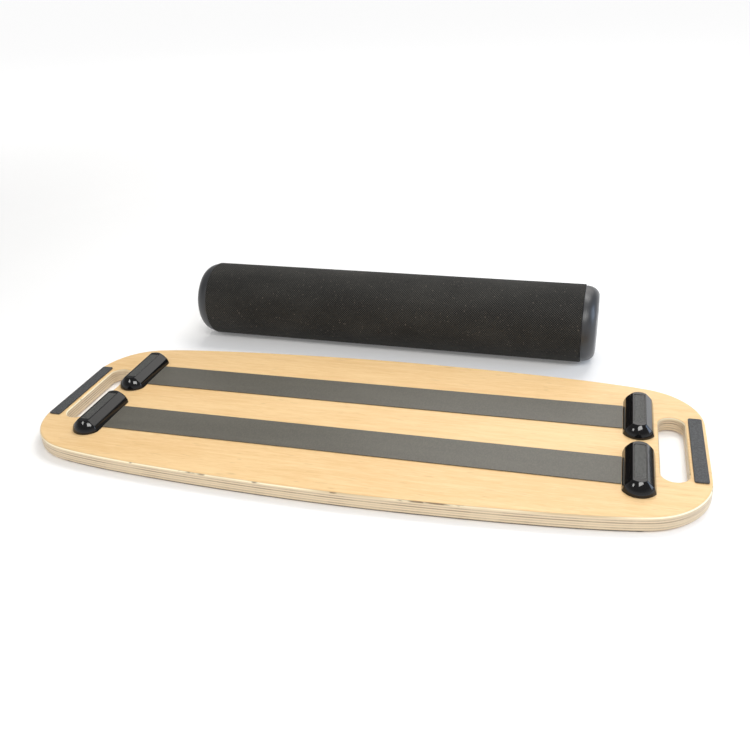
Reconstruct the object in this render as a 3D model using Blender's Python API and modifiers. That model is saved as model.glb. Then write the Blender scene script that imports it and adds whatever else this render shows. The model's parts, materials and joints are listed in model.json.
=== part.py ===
"""A roller balance board: a plywood deck lying standing face down, and its loose roller behind it.

Metres, +Z up. The origin is on the floor under the middle of the deck, +X runs along the deck and
+Y points towards the roller. The deck shows the face that rides on the roller: two track strips run
along it between two pairs of stoppers, with a hand slot and a rubber pad at each end.
"""

import math

import bmesh
import bpy
from mathutils import Matrix, Vector

PRODUCT_NAME = "roller_balance_board"

# Clearance left between two pieces that touch or fit into each other.
FIT_GAP = 0.0003

# Deck: a barrel-sided board with large round corners.
DECK_LENGTH = 0.7848
DECK_WIDTH = 0.3006
DECK_THICKNESS = 0.018
DECK_EDGE_RADIUS = 0.003
DECK_CORNER_RADIUS = 0.077
DECK_END_STRAIGHT = 0.1066
# How far the long side has turned inwards where it meets the corner arc.
SHOULDER_TURN = math.radians(16.9)
# Shape of the long side: the share of its run that each end of the curve pulls straight.
SIDE_PULL = 0.30
SHOULDER_PULL = 0.149
SIDE_STEPS = 14
CORNER_STEPS = 9

# Grip sheet on the standing face, between the two hand slots.
SHEET_THICKNESS = 0.0012
SHEET_INSET = 0.003
SHEET_TO_SLOT = 0.010
SHEET_CORNER_RADIUS = 0.012

# Hand slots, one through each end of the deck.
SLOT_LENGTH = 0.127
SLOT_WIDTH = 0.0285
SLOT_TO_END = 0.0229
SLOT_ARC_STEPS = 10

# Rubber pads along the two ends.
PAD_LENGTH = 0.126
PAD_WIDTH = 0.0148
PAD_THICKNESS = 0.0018
PAD_CORNER_RADIUS = 0.0022
PAD_TO_END = 0.0044

# The two tracks that the roller runs along: centre to centre distance, and strip section.
TRACK_SPACING = 0.109
STRIP_WIDTH = 0.050
STRIP_THICKNESS = 0.0010
STRIP_CORNER_RADIUS = 0.0010

# Stoppers: a moulded shell with steep walls, slanted flanks, a flat crown and a tapering round nose.
STOPPER_LENGTH = 0.0924
STOPPER_WIDTH = 0.0340
STOPPER_HEIGHT = 0.0145
STOPPER_TO_SLOT = 0.0049
STOPPER_CROWN_WIDTH = 0.0144
# How far each steep wall leans inwards by the time it reaches the hip.
STOPPER_WALL_LEAN = 0.0022
STOPPER_HIP_HEIGHT = 0.0065
STOPPER_FLANK_RADIUS = 0.004
STOPPER_CROWN_RADIUS = 0.0012
STOPPER_WALL = 0.0022
STOPPER_ROOF = 0.0020
# How much the nose's radius in plan exceeds half the stopper's width.
NOSE_FLARE = 0.0020
NOSE_TAPER = 0.0084
NOSE_TAPER_POWER = 1.8
NOSE_LEVELS = 5
NOSE_ARC_STEPS = 12

# Textured inlay let into the top of each stopper: the rims that the crown keeps beside it and past its ends.
INLAY_SIDE_RIM = 0.0013
INLAY_END_RIM = 0.0063
INLAY_THICKNESS = 0.0010
INLAY_CORNER_RADIUS = 0.0025
INLAY_BELOW_LIP = 0.0003

# Countersunk screws that come up through the deck into the stoppers' bosses.
SCREW_SPACING = 0.044
# How far a screw reaches up into its boss.
SCREW_BITE = 0.0079
SCREW_SHANK_DIAMETER = 0.0040
SCREW_HEAD_DIAMETER = 0.0080
SCREW_HEAD_RIM = 0.0004
SCREW_HEAD_SINK = 0.0002
SCREW_POINT = 0.0025
SCREW_SOCKET_WIDTH = 0.0025
SCREW_SOCKET_DEPTH = 0.0016
SCREW_STEPS = 16
BOSS_DIAMETER = 0.0092
BOSS_PILOT_EXTRA = 0.0012

# Roller: a grip sleeve on a hard tube, with a push-in cap at each end. It lies on the floor behind the deck.
ROLLER_RADIUS = 0.0526
ROLLER_TO_DECK = 0.0404
ROLLER_SHIFT = -0.0224
ROLLER_YAW = math.radians(-1.21)
ROLLER_STEPS = 48
SLEEVE_LENGTH = 0.5369
SLEEVE_THICKNESS = 0.0023
TUBE_WALL = 0.0035
CAP_DROP = 0.0017
CAP_DEPTH = 0.0180
CAP_SHOULDER_DROP = 0.0130
CAP_SHOULDER_DEPTH = 0.0172
CAP_SHOULDER_STEPS = 6
CAP_WALL = 0.0030
CAP_SPIGOT_LENGTH = 0.025

# How far a cutting shape runs past the surface that it has to break through.
OVERRUN = 0.0010
# Straight steps in a quarter of a small round corner.
SMALL_CORNER_STEPS = 3

# Levels and places worked out from the sizes above.
DECK_BOTTOM = SHEET_THICKNESS + FIT_GAP
DECK_TOP = DECK_BOTTOM + DECK_THICKNESS
MOUNTED_BASE = DECK_TOP + FIT_GAP
SCREW_BOTTOM = DECK_BOTTOM + SCREW_HEAD_SINK
SCREW_LENGTH = MOUNTED_BASE + SCREW_BITE - SCREW_BOTTOM
SLOT_CENTRE_X = DECK_LENGTH / 2 - SLOT_TO_END - SLOT_WIDTH / 2
PAD_CENTRE_X = DECK_LENGTH / 2 - PAD_TO_END - PAD_WIDTH / 2
STOPPER_CENTRE_X = SLOT_CENTRE_X - SLOT_WIDTH / 2 - STOPPER_TO_SLOT - STOPPER_WIDTH / 2
STRIP_LENGTH = 2 * (STOPPER_CENTRE_X - STOPPER_WIDTH / 2 - FIT_GAP)
SHEET_LENGTH = 2 * (SLOT_CENTRE_X - SLOT_WIDTH / 2 - SHEET_TO_SLOT)
STOPPER_HIP_WIDTH = STOPPER_WIDTH - 2 * STOPPER_WALL_LEAN
NOSE_PLAN_RADIUS = STOPPER_WIDTH / 2 + NOSE_FLARE
INLAY_WIDTH = STOPPER_CROWN_WIDTH - 2 * INLAY_SIDE_RIM
INLAY_LENGTH = STOPPER_LENGTH - 2 * NOSE_TAPER - 2 * INLAY_END_RIM
RECESS_DEPTH = INLAY_THICKNESS + FIT_GAP + INLAY_BELOW_LIP
CAVITY_HEIGHT = STOPPER_HEIGHT - RECESS_DEPTH - STOPPER_ROOF
SLEEVE_BORE = ROLLER_RADIUS - SLEEVE_THICKNESS
TUBE_RADIUS = SLEEVE_BORE - FIT_GAP
TUBE_BORE = TUBE_RADIUS - TUBE_WALL
CAP_RADIUS = ROLLER_RADIUS - CAP_DROP
SPIGOT_RADIUS = TUBE_BORE - FIT_GAP
ROLLER_DISTANCE = DECK_WIDTH / 2 + ROLLER_TO_DECK + ROLLER_RADIUS

SIDES = (("left", -1), ("right", 1))
ROWS = (("front", -1), ("rear", 1))

FINISHES = {
    "plywood": ((0.91, 0.70, 0.40), 0.45, 0.0),
    "grip_sheet": ((0.03, 0.03, 0.03), 0.90, 0.0),
    "track_rubber": ((0.13, 0.13, 0.12), 0.55, 0.0),
    "pad_rubber": ((0.07, 0.07, 0.075), 0.75, 0.0),
    "stopper_gloss": ((0.008, 0.008, 0.01), 0.12, 0.0),
    "stopper_inlay": ((0.15, 0.15, 0.14), 0.60, 0.0),
    "screw_steel": ((0.55, 0.55, 0.56), 0.30, 1.0),
    "roller_sleeve": ((0.02, 0.02, 0.018), 0.95, 0.0),
    "roller_tube": ((0.20, 0.20, 0.21), 0.50, 0.0),
    "roller_cap": ((0.02, 0.022, 0.025), 0.38, 0.0),
}


def clear_scene():
    """Remove every object that the scene starts with."""
    for existing in list(bpy.data.objects):
        bpy.data.objects.remove(existing, do_unlink=True)


def make_collection(name):
    """Add a collection to the scene."""
    collection = bpy.data.collections.new(name)
    bpy.context.scene.collection.children.link(collection)
    return collection


def make_material(name):
    """Make the Principled material of one finish."""
    colour, roughness, metallic = FINISHES[name]
    material = bpy.data.materials.new(name)
    material.use_nodes = True
    shader = material.node_tree.nodes["Principled BSDF"]
    shader.inputs["Base Color"].default_value = (*colour, 1.0)
    shader.inputs["Roughness"].default_value = roughness
    shader.inputs["Metallic"].default_value = metallic
    return material


def adopt(piece, name, collection, finish=None, parent=None):
    """Name a piece, move it into a collection, and give it its finish and parent."""
    piece.name = name
    piece.data.name = name
    for holder in list(piece.users_collection):
        holder.objects.unlink(piece)
    collection.objects.link(piece)
    if finish:
        piece.data.materials.clear()
        piece.data.materials.append(materials[finish])
    if parent:
        piece.parent = parent
    return piece


def add_cutter(piece, name):
    """Keep a shape as a cutting tool that is never part of the model."""
    adopt(piece, name, cutters)
    piece.hide_render = True
    piece.display_type = "WIRE"
    return piece


def carve(piece, tool, operation):
    """Keep what a piece shares with a tool's shape (INTERSECT), or what it doesn't (DIFFERENCE)."""
    boolean = piece.modifiers.new("carve", "BOOLEAN")
    boolean.operation = operation
    boolean.solver = "EXACT"
    boolean.object = tool


def cut(piece, tool):
    """Take a tool's shape out of a piece."""
    carve(piece, tool, "DIFFERENCE")


def shade_round(mesh):
    """Shade a mesh smooth and keep its real corners sharp."""
    mesh.shade_smooth()
    mesh.set_sharp_from_angle(angle=math.radians(30))


def mesh_object(name, shape):
    """Turn a finished bmesh into an object."""
    mesh = bpy.data.meshes.new(name)
    shape.to_mesh(mesh)
    shape.free()
    piece = bpy.data.objects.new(name, mesh)
    bpy.context.scene.collection.objects.link(piece)
    return piece


def slab_from_outlines(name, outlines, thickness):
    """Make a flat slab from closed outlines; the inner ones are holes. It is centred on z = 0."""
    curve = bpy.data.curves.new(name, "CURVE")
    curve.dimensions = "2D"
    curve.fill_mode = "BOTH"
    curve.extrude = thickness / 2
    for outline in outlines:
        spline = curve.splines.new("POLY")
        spline.points.add(len(outline) - 1)
        for point, (x, y) in zip(spline.points, outline):
            point.co = (x, y, 0, 1)
        spline.use_cyclic_u = True
    drawn = bpy.data.objects.new(name, curve)
    bpy.context.scene.collection.objects.link(drawn)
    depsgraph = bpy.context.evaluated_depsgraph_get()
    mesh = bpy.data.meshes.new_from_object(drawn.evaluated_get(depsgraph))
    slab = bpy.data.objects.new(name, mesh)
    slab.matrix_world = drawn.matrix_world
    bpy.context.scene.collection.objects.link(slab)
    bpy.data.objects.remove(drawn, do_unlink=True)
    shape = bmesh.new()
    shape.from_mesh(mesh)
    bmesh.ops.remove_doubles(shape, verts=shape.verts, dist=0.00001)
    bmesh.ops.recalc_face_normals(shape, faces=shape.faces)
    shape.to_mesh(mesh)
    shape.free()
    return slab


def bevel_edges(piece, width, segments):
    """Round the crisp edges of a piece."""
    bevel = piece.modifiers.new("rounded_edges", "BEVEL")
    bevel.width = width
    bevel.segments = segments
    bevel.limit_method = "ANGLE"
    bevel.angle_limit = math.radians(50)
    bevel.harden_normals = False


def arc_points(centre, radius, start, end, steps):
    """List points along an arc, both ends included."""
    points = []
    for step in range(steps + 1):
        angle = start + (end - start) * step / steps
        points.append((centre[0] + radius * math.cos(angle), centre[1] + radius * math.sin(angle)))
    return points


def rounded_rectangle(length, width, radius, steps):
    """Outline of a rectangle with round corners, length along X."""
    x = length / 2 - radius
    y = width / 2 - radius
    outline = []
    for quarter, (sx, sy) in enumerate(((1, 1), (-1, 1), (-1, -1), (1, -1))):
        start = quarter * math.pi / 2
        outline += arc_points((sx * x, sy * y), radius, start, start + math.pi / 2, steps)
    return outline


def stadium(length, width, steps):
    """Outline of a slot with full round ends, length along Y."""
    reach = (length - width) / 2
    upper = arc_points((0, reach), width / 2, 0, math.pi, steps)
    lower = arc_points((0, -reach), width / 2, math.pi, 2 * math.pi, steps)
    return upper + lower


def shoulder_point():
    """Where the long side meets the corner arc, in the quarter with x and y positive."""
    centre_x = DECK_LENGTH / 2 - DECK_CORNER_RADIUS
    centre_y = DECK_END_STRAIGHT / 2
    x = centre_x + DECK_CORNER_RADIUS * math.sin(SHOULDER_TURN)
    y = centre_y + DECK_CORNER_RADIUS * math.cos(SHOULDER_TURN)
    return Vector((x, y))


def side_point(share):
    """A point along the long side, from the middle of the deck (0) to the shoulder (1)."""
    end = shoulder_point()
    start = Vector((0, DECK_WIDTH / 2))
    start_pull = start + Vector((SIDE_PULL * end.x, 0))
    turn = Vector((-math.cos(SHOULDER_TURN), math.sin(SHOULDER_TURN)))
    end_pull = end + turn * SHOULDER_PULL * end.x
    rest = 1 - share
    point = start * rest**3 + start_pull * (3 * rest**2 * share)
    point += end_pull * (3 * rest * share**2) + end * share**3
    return point


def mirrored_outline(quarter):
    """Close a quarter outline, which runs from +Y to +X, into the whole outline."""
    outline = list(quarter)
    outline += [(x, -y) for x, y in reversed(quarter) if y > 0]
    outline += [(-x, -y) for x, y in quarter if x > 0]
    outline += [(-x, y) for x, y in reversed(quarter) if x > 0 and y > 0]
    return outline


def deck_outline():
    """Outline of the deck."""
    quarter = [tuple(side_point(step / SIDE_STEPS)) for step in range(SIDE_STEPS)]
    centre = (DECK_LENGTH / 2 - DECK_CORNER_RADIUS, DECK_END_STRAIGHT / 2)
    quarter += arc_points(centre, DECK_CORNER_RADIUS, math.pi / 2 - SHOULDER_TURN, 0, CORNER_STEPS)
    return mirrored_outline(quarter)


def side_half_width(x):
    """Half the deck's width at a distance x from its middle, along the barrel side."""
    low = 0.0
    high = 1.0
    for _ in range(40):
        middle = (low + high) / 2
        if side_point(middle).x < x:
            low = middle
        else:
            high = middle
    return side_point(low).y


def sheet_outline():
    """Outline of the grip sheet: the deck's barrel sides set in by a margin, squared off at the slots."""
    corner_x = SHEET_LENGTH / 2 - SHEET_CORNER_RADIUS
    corner_edge = side_half_width(corner_x) - SHEET_INSET
    quarter = []
    for step in range(SIDE_STEPS):
        x = corner_x * step / SIDE_STEPS
        quarter.append((x, side_half_width(x) - SHEET_INSET))
    centre = (corner_x, corner_edge - SHEET_CORNER_RADIUS)
    quarter += arc_points(centre, SHEET_CORNER_RADIUS, math.pi / 2, 0, SMALL_CORNER_STEPS + 1)
    quarter.append((SHEET_LENGTH / 2, 0.0))
    return mirrored_outline(quarter)


def turned(name, profile, steps, closed):
    """Turn a profile of (radius, height) points about Z, listed down its outer side."""
    shape = bmesh.new()
    corners = [shape.verts.new((radius, 0, height)) for radius, height in profile]
    for upper, lower in zip(corners, corners[1:]):
        shape.edges.new((upper, lower))
    if closed:
        shape.edges.new((corners[-1], corners[0]))
    piece = mesh_object(name, shape)
    screw = piece.modifiers.new("turn", "SCREW")
    screw.steps = steps
    screw.render_steps = steps
    screw.use_merge_vertices = True
    screw.merge_threshold = 0.00001
    return piece


def apply_modifiers(piece):
    """Replace a piece's mesh by its evaluated shape and drop its modifiers."""
    depsgraph = bpy.context.evaluated_depsgraph_get()
    mesh = bpy.data.meshes.new_from_object(piece.evaluated_get(depsgraph))
    piece.modifiers.clear()
    piece.data = mesh
    return piece


def rounded_path(corners, steps):
    """Round the corners of an open path of (x, y, radius) points; a radius of 0 keeps the corner."""
    path = []
    for index, (x, y, radius) in enumerate(corners):
        corner = Vector((x, y))
        if not radius:
            path.append(tuple(corner))
            continue
        before = (Vector(corners[index - 1][:2]) - corner).normalized()
        after = (Vector(corners[index + 1][:2]) - corner).normalized()
        half_turn = before.angle(after) / 2
        centre = corner + (before + after).normalized() * radius / math.sin(half_turn)
        start = corner + before * radius / math.tan(half_turn)
        finish = corner + after * radius / math.tan(half_turn)
        for step in range(steps + 1):
            spoke = (start - centre).normalized().slerp((finish - centre).normalized(), step / steps)
            path.append(tuple(centre + spoke * radius))
    return path


def stopper_section(inset, crown):
    """Cross-section of a stopper, from its right foot over the crown to its left foot."""
    half = [
        (STOPPER_WIDTH / 2 - inset, 0.0, 0),
        (STOPPER_HIP_WIDTH / 2 - inset, STOPPER_HIP_HEIGHT, STOPPER_FLANK_RADIUS),
        (STOPPER_CROWN_WIDTH / 2, crown, STOPPER_CROWN_RADIUS),
    ]
    other_half = [(-x, z, radius) for x, z, radius in reversed(half)]
    return rounded_path(half + other_half, SMALL_CORNER_STEPS)


def loft(name, rings):
    """Skin a closed body over rings that all have the same number of points."""
    shape = bmesh.new()
    loops = [[shape.verts.new(point) for point in ring] for ring in rings]
    count = len(loops[0])
    for near, far in zip(loops, loops[1:]):
        for index in range(count):
            other = (index + 1) % count
            shape.faces.new((near[index], near[other], far[other], far[index]))
    shape.faces.new(loops[0])
    shape.faces.new(loops[-1])
    bmesh.ops.recalc_face_normals(shape, faces=shape.faces)
    return mesh_object(name, shape)


def nose_envelope(name, inset, floor):
    """A slot-shaped body whose ends taper as they rise; it gives a stopper its two noses."""
    rings = []
    for level in range(NOSE_LEVELS + 1):
        share = level / NOSE_LEVELS
        radius = NOSE_PLAN_RADIUS - inset - NOSE_TAPER * share**NOSE_TAPER_POWER
        reach = STOPPER_LENGTH - 2 * NOSE_PLAN_RADIUS + 2 * radius
        outline = stadium(reach, 2 * radius, NOSE_ARC_STEPS)
        rings.append([(x, y, share * STOPPER_HEIGHT) for x, y in outline])
    rings.insert(0, [(x, y, floor) for x, y, _ in rings[0]])
    rings.append([(x, y, STOPPER_HEIGHT + OVERRUN) for x, y, _ in rings[-1]])
    return loft(name, rings)


def stopper_body(name, inset, crown, floor):
    """A stopper's solid body, or its cavity: the cross-section run along Y and cut by the noses."""
    section = stopper_section(inset, crown)
    if floor < 0:
        section = [(section[0][0], floor)] + section + [(section[-1][0], floor)]
    rings = [[(x, y, z) for x, z in section] for y in (-STOPPER_LENGTH / 2, STOPPER_LENGTH / 2)]
    body = loft(name, rings)
    envelope = nose_envelope(f"{name}_nose", inset, floor - OVERRUN)
    carve(body, add_cutter(envelope, f"{name}_nose_cutter"), "INTERSECT")
    return apply_modifiers(body)


def post(name, diameter, bottom, top, y):
    """A round post on the stopper's middle line, standing between two heights."""
    shape = bmesh.new()
    bmesh.ops.create_cone(
        shape,
        cap_ends=True,
        segments=SCREW_STEPS,
        radius1=diameter / 2,
        radius2=diameter / 2,
        depth=top - bottom,
        matrix=Matrix.Translation((0, y, (top + bottom) / 2)),
    )
    return mesh_object(name, shape)


def stopper_positions():
    """Name and centre of each stopper."""
    places = []
    for side, sx in SIDES:
        for row, sy in ROWS:
            places.append((f"{side}_{row}", sx * STOPPER_CENTRE_X, sy * TRACK_SPACING / 2))
    return places


def screw_positions():
    """Name and centre of each stopper screw."""
    places = []
    for name, x, y in stopper_positions():
        for number, sy in ((1, -1), (2, 1)):
            places.append((f"{name}_{number}", x, y + sy * SCREW_SPACING / 2))
    return places


def screw_radii(clearance):
    """Radii of a countersunk screw's shank and head, or of their holes, and where its cone ends."""
    shank = SCREW_SHANK_DIAMETER / 2 + clearance
    head = SCREW_HEAD_DIAMETER / 2 + clearance
    return shank, head, SCREW_HEAD_RIM + head - shank


def make_screw_mesh():
    """One countersunk screw, head down, with a hexagon socket in its head."""
    shank, head, neck = screw_radii(0.0)
    profile = [
        (0.0, SCREW_LENGTH),
        (shank, SCREW_LENGTH - SCREW_POINT),
        (shank, neck),
        (head, SCREW_HEAD_RIM),
        (head, 0.0),
        (0.0, 0.0),
    ]
    screw = turned("stopper_screw", profile, SCREW_STEPS, closed=False)
    shape = bmesh.new()
    bmesh.ops.create_cone(
        shape,
        cap_ends=True,
        segments=6,
        radius1=SCREW_SOCKET_WIDTH / math.sqrt(3),
        radius2=SCREW_SOCKET_WIDTH / math.sqrt(3),
        depth=2 * SCREW_SOCKET_DEPTH,
    )
    socket = mesh_object("screw_socket", shape)
    add_cutter(socket, "screw_socket_cutter")
    cut(screw, socket)
    apply_modifiers(screw)
    shade_round(screw.data)
    return screw


def make_screw_hole_cutter(name, places):
    """All the countersunk clearance holes through the deck, as one tool."""
    shank, head, neck = screw_radii(FIT_GAP)
    profile = [
        (0.0, DECK_TOP + OVERRUN),
        (shank, DECK_TOP + OVERRUN),
        (shank, SCREW_BOTTOM + neck),
        (head, SCREW_BOTTOM + SCREW_HEAD_RIM),
        (head, DECK_BOTTOM - OVERRUN),
        (0.0, DECK_BOTTOM - OVERRUN),
    ]
    single = apply_modifiers(turned(name, profile, SCREW_STEPS, closed=False))
    shape = bmesh.new()
    for _, x, y in places:
        before = len(shape.verts)
        shape.from_mesh(single.data)
        shape.verts.ensure_lookup_table()
        bmesh.ops.translate(shape, verts=shape.verts[before:], vec=(x, y, 0))
    shape.to_mesh(single.data)
    shape.free()
    return add_cutter(single, name)


def build_deck():
    """The plywood deck with its hand slots and countersunk screw holes."""
    outlines = [deck_outline()]
    slot = stadium(SLOT_LENGTH, SLOT_WIDTH, SLOT_ARC_STEPS)
    for _, sx in SIDES:
        outlines.append([(sx * SLOT_CENTRE_X + x, y) for x, y in slot])
    deck = slab_from_outlines("deck_board", outlines, DECK_THICKNESS)
    adopt(deck, "deck_board", parts, "plywood", board)
    deck.location = (0, 0, (DECK_BOTTOM + DECK_TOP) / 2)
    bevel_edges(deck, DECK_EDGE_RADIUS, 2)
    cut(deck, make_screw_hole_cutter("screw_hole_cutter", screw_positions()))
    return deck


def build_grip_sheet():
    """The anti-slip sheet that the rider stands on, underneath as the board lies."""
    sheet = slab_from_outlines("standing_grip_sheet", [sheet_outline()], SHEET_THICKNESS)
    adopt(sheet, "standing_grip_sheet", parts, "grip_sheet", board)
    sheet.location = (0, 0, SHEET_THICKNESS / 2)


def build_tracks():
    """The two strips that the roller runs along."""
    for row, sy in ROWS:
        outline = rounded_rectangle(STRIP_LENGTH, STRIP_WIDTH, STRIP_CORNER_RADIUS, SMALL_CORNER_STEPS)
        strip = slab_from_outlines(f"track_strip_{row}", [outline], STRIP_THICKNESS)
        adopt(strip, f"track_strip_{row}", parts, "track_rubber", board)
        strip.location = (0, sy * TRACK_SPACING / 2, MOUNTED_BASE + STRIP_THICKNESS / 2)


def build_end_pads():
    """The rubber pads across the two ends."""
    for side, sx in SIDES:
        outline = rounded_rectangle(PAD_WIDTH, PAD_LENGTH, PAD_CORNER_RADIUS, SMALL_CORNER_STEPS)
        pad = slab_from_outlines(f"end_pad_{side}", [outline], PAD_THICKNESS)
        adopt(pad, f"end_pad_{side}", parts, "pad_rubber", board)
        pad.location = (sx * PAD_CENTRE_X, 0, MOUNTED_BASE + PAD_THICKNESS / 2)


def inlay_outline(clearance):
    """Outline of a stopper's inlay, or of its recess with a clearance all round."""
    width = INLAY_WIDTH + 2 * clearance
    length = INLAY_LENGTH + 2 * clearance
    return rounded_rectangle(width, length, INLAY_CORNER_RADIUS + clearance, SMALL_CORNER_STEPS + 1)


def build_stopper_mesh():
    """One moulded stopper shell: hollow below, with two screw bosses and a recess for the inlay."""
    shell = stopper_body("stopper_shell", 0.0, STOPPER_HEIGHT, 0.0)
    cavity = stopper_body("stopper_cavity", STOPPER_WALL, CAVITY_HEIGHT, -OVERRUN)
    for y in (-SCREW_SPACING / 2, SCREW_SPACING / 2):
        boss = post("boss", BOSS_DIAMETER, -3 * OVERRUN, STOPPER_HEIGHT, y)
        cut(cavity, add_cutter(boss, "boss_cutter"))
    add_cutter(cavity, "stopper_cavity_cutter")
    cut(shell, cavity)
    for y in (-SCREW_SPACING / 2, SCREW_SPACING / 2):
        diameter = SCREW_SHANK_DIAMETER + 2 * FIT_GAP
        pilot = post("pilot", diameter, -2 * OVERRUN, SCREW_BITE + BOSS_PILOT_EXTRA, y)
        cut(shell, add_cutter(pilot, "pilot_cutter"))
    recess = slab_from_outlines("recess", [inlay_outline(FIT_GAP)], 2 * RECESS_DEPTH)
    recess.location = (0, 0, STOPPER_HEIGHT)
    cut(shell, add_cutter(recess, "inlay_recess_cutter"))
    bpy.context.view_layer.update()
    return apply_modifiers(shell)


def build_stoppers():
    """The four stoppers, each a shell with its inlay and two screws."""
    shell = build_stopper_mesh()
    shade_round(shell.data)
    inlay = slab_from_outlines("stopper_inlay", [inlay_outline(0.0)], INLAY_THICKNESS)
    screw = make_screw_mesh()
    inlay_middle = MOUNTED_BASE + STOPPER_HEIGHT - INLAY_BELOW_LIP - INLAY_THICKNESS / 2
    for name, x, y in stopper_positions():
        copy = bpy.data.objects.new("stopper_shell", shell.data.copy())
        adopt(copy, f"stopper_shell_{name}", parts, "stopper_gloss", board)
        copy.location = (x, y, MOUNTED_BASE)
        copy = bpy.data.objects.new("stopper_inlay", inlay.data.copy())
        adopt(copy, f"stopper_inlay_{name}", parts, "stopper_inlay", board)
        copy.location = (x, y, inlay_middle)
    for name, x, y in screw_positions():
        copy = bpy.data.objects.new("stopper_screw", screw.data.copy())
        adopt(copy, f"stopper_screw_{name}", parts, "screw_steel", board)
        copy.location = (x, y, SCREW_BOTTOM)
    for pattern in (shell, inlay, screw):
        bpy.data.objects.remove(pattern, do_unlink=True)


def build_roller():
    """The roller: tube, grip sleeve and two end caps, all about one axis."""
    facet_apothem = ROLLER_RADIUS * math.cos(math.pi / ROLLER_STEPS)
    axis = bpy.data.objects.new("roller_axis", None)
    parts.objects.link(axis)
    axis.location = (ROLLER_SHIFT, ROLLER_DISTANCE, facet_apothem)
    half_facet = math.pi / ROLLER_STEPS
    axis.rotation_euler = (0, math.pi / 2, ROLLER_YAW)
    half = SLEEVE_LENGTH / 2
    sleeve_profile = [
        (ROLLER_RADIUS, half),
        (ROLLER_RADIUS, -half),
        (SLEEVE_BORE, -half),
        (SLEEVE_BORE, half),
    ]
    tube_profile = [
        (TUBE_RADIUS, half),
        (TUBE_RADIUS, -half),
        (TUBE_BORE, -half),
        (TUBE_BORE, half),
    ]
    pieces = [
        (turned("roller_sleeve", sleeve_profile, ROLLER_STEPS, closed=True), "roller_sleeve"),
        (turned("roller_tube", tube_profile, ROLLER_STEPS, closed=True), "roller_tube"),
    ]
    for side, sx in SIDES:
        cap = turned(f"roller_cap_{side}", cap_profile(half + FIT_GAP), ROLLER_STEPS, closed=False)
        if sx < 0:
            apply_modifiers(cap)
            cap.data.transform(Matrix.Rotation(math.pi, 4, "X"))
        pieces.append((cap, "roller_cap"))
    for piece, finish in pieces:
        adopt(piece, piece.name, parts, finish, axis)
        piece.rotation_euler = (0, 0, half_facet)
        shade_round(piece.data)
    return axis


def cap_profile(seat):
    """Profile of an end cap whose flange sits at height seat: down its outer side, back up its inner one."""
    face = seat + CAP_DEPTH
    flat = CAP_RADIUS - CAP_SHOULDER_DROP
    profile = [(0.0, face)]
    for across, along in arc_points((0.0, 0.0), 1.0, math.pi / 2, 0, CAP_SHOULDER_STEPS):
        profile.append((flat + across * CAP_SHOULDER_DROP, face + (along - 1.0) * CAP_SHOULDER_DEPTH))
    profile += [
        (CAP_RADIUS, seat),
        (SPIGOT_RADIUS, seat),
        (SPIGOT_RADIUS, seat - CAP_SPIGOT_LENGTH),
        (SPIGOT_RADIUS - CAP_WALL, seat - CAP_SPIGOT_LENGTH),
        (SPIGOT_RADIUS - CAP_WALL, seat),
        (flat, face - CAP_WALL),
        (0.0, face - CAP_WALL),
    ]
    return profile


clear_scene()
parts = make_collection(PRODUCT_NAME)
cutters = make_collection("cutters")
materials = {name: make_material(name) for name in FINISHES}
board = bpy.data.objects.new("board", None)
parts.objects.link(board)
build_deck()
build_grip_sheet()
build_tracks()
build_end_pads()
build_stoppers()
build_roller()
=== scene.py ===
"""The finished look of a roller balance board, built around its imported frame.

A barrel-sided plywood deck lies standing face down, so that it shows the face that rides on the roller.
Two track strips run between two pairs of moulded stoppers, each end has a hand slot and a rubber pad,
and the loose roller lies behind the deck. Metres throughout, in the frame's own axes: +X runs along the
deck, +Y points towards the roller and +Z is up.
"""

import json
import logging
import math
from collections.abc import Iterable, Sequence
from dataclasses import dataclass, field
from enum import Enum

import bmesh
import bpy
from mathutils import Matrix, Vector


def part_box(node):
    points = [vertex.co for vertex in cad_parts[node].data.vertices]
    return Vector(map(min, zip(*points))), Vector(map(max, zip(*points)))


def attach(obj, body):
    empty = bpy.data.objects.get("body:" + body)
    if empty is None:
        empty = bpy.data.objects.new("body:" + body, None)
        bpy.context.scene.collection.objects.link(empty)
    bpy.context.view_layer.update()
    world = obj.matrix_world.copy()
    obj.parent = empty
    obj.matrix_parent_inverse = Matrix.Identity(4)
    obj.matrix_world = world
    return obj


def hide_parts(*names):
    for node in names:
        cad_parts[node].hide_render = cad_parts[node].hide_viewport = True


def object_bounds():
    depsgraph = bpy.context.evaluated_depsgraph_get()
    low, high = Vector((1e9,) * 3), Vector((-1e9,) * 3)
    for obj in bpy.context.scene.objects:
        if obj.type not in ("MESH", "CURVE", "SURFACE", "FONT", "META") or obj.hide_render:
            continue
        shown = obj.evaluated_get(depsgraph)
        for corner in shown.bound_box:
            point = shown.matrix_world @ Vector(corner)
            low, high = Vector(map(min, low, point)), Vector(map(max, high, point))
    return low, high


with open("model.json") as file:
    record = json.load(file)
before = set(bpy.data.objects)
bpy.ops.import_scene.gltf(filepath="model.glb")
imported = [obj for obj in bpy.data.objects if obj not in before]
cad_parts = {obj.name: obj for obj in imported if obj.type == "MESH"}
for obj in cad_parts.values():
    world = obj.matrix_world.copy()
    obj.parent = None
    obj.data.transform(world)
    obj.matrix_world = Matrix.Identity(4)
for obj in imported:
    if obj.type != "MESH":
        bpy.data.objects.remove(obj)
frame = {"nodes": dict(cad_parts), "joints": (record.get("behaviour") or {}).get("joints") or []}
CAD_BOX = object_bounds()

log = logging.getLogger("roller_board")

Colour = tuple[float, float, float]
Point2 = tuple[float, float]
Point3 = tuple[float, float, float]


class Body(Enum):
    """The two moving bodies of the frame."""

    BOARD = "board"
    ROLLER = "roller"


class Side(Enum):
    """An end of the deck, as the sign of its X."""

    LEFT = -1
    RIGHT = 1


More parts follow.
